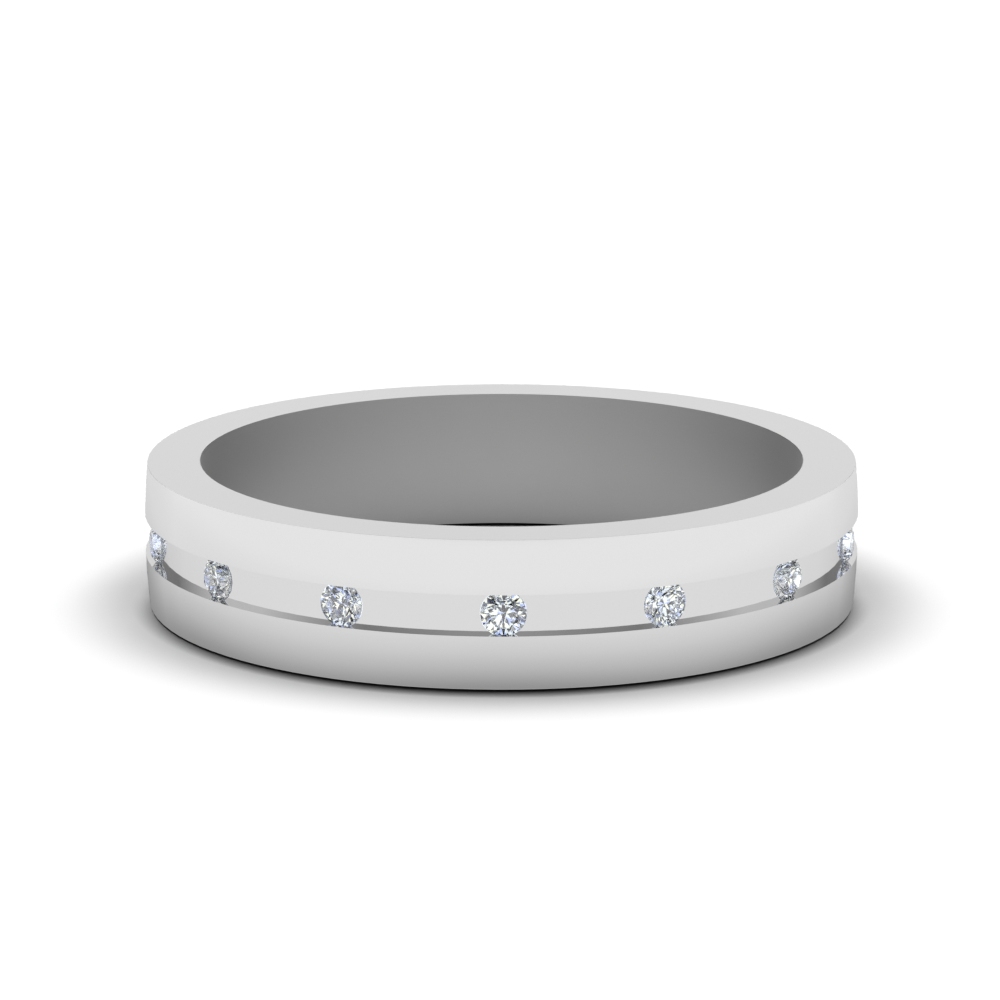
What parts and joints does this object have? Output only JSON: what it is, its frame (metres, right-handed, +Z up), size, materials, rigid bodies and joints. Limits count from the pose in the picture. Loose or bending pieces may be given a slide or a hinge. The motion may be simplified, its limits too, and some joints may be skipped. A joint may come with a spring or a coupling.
{
  "type": "diamond wedding band",
  "caption": "Polished white gold wedding band with a slightly domed outside and a central groove, in which small round brilliant diamonds are held between the groove's two walls.",
  "frame": {"origin": "centre of the finger hole, on the lower face, which the band rests on", "axes": "+Z up, along the finger hole's axis; the first stone faces -Y and the stones are numbered towards +X"},
  "size_m": [0.02, 0.02, 0.004],
  "materials": {
    "white_gold": "white gold, polished all over, with a finer satin inside the finger hole",
    "diamond": "clear colourless diamond, cut and polished as a round brilliant"
  },
  "bodies": {
    "root": {"band": "white_gold", "diamond_1": "diamond", "diamond_2": "diamond", "diamond_3": "diamond", "diamond_4": "diamond", "diamond_5": "diamond", "diamond_6": "diamond", "diamond_7": "diamond", "diamond_8": "diamond", "diamond_9": "diamond", "diamond_10": "diamond", "diamond_11": "diamond", "diamond_12": "diamond", "diamond_13": "diamond", "diamond_14": "diamond"}
  },
  "joints": []
}
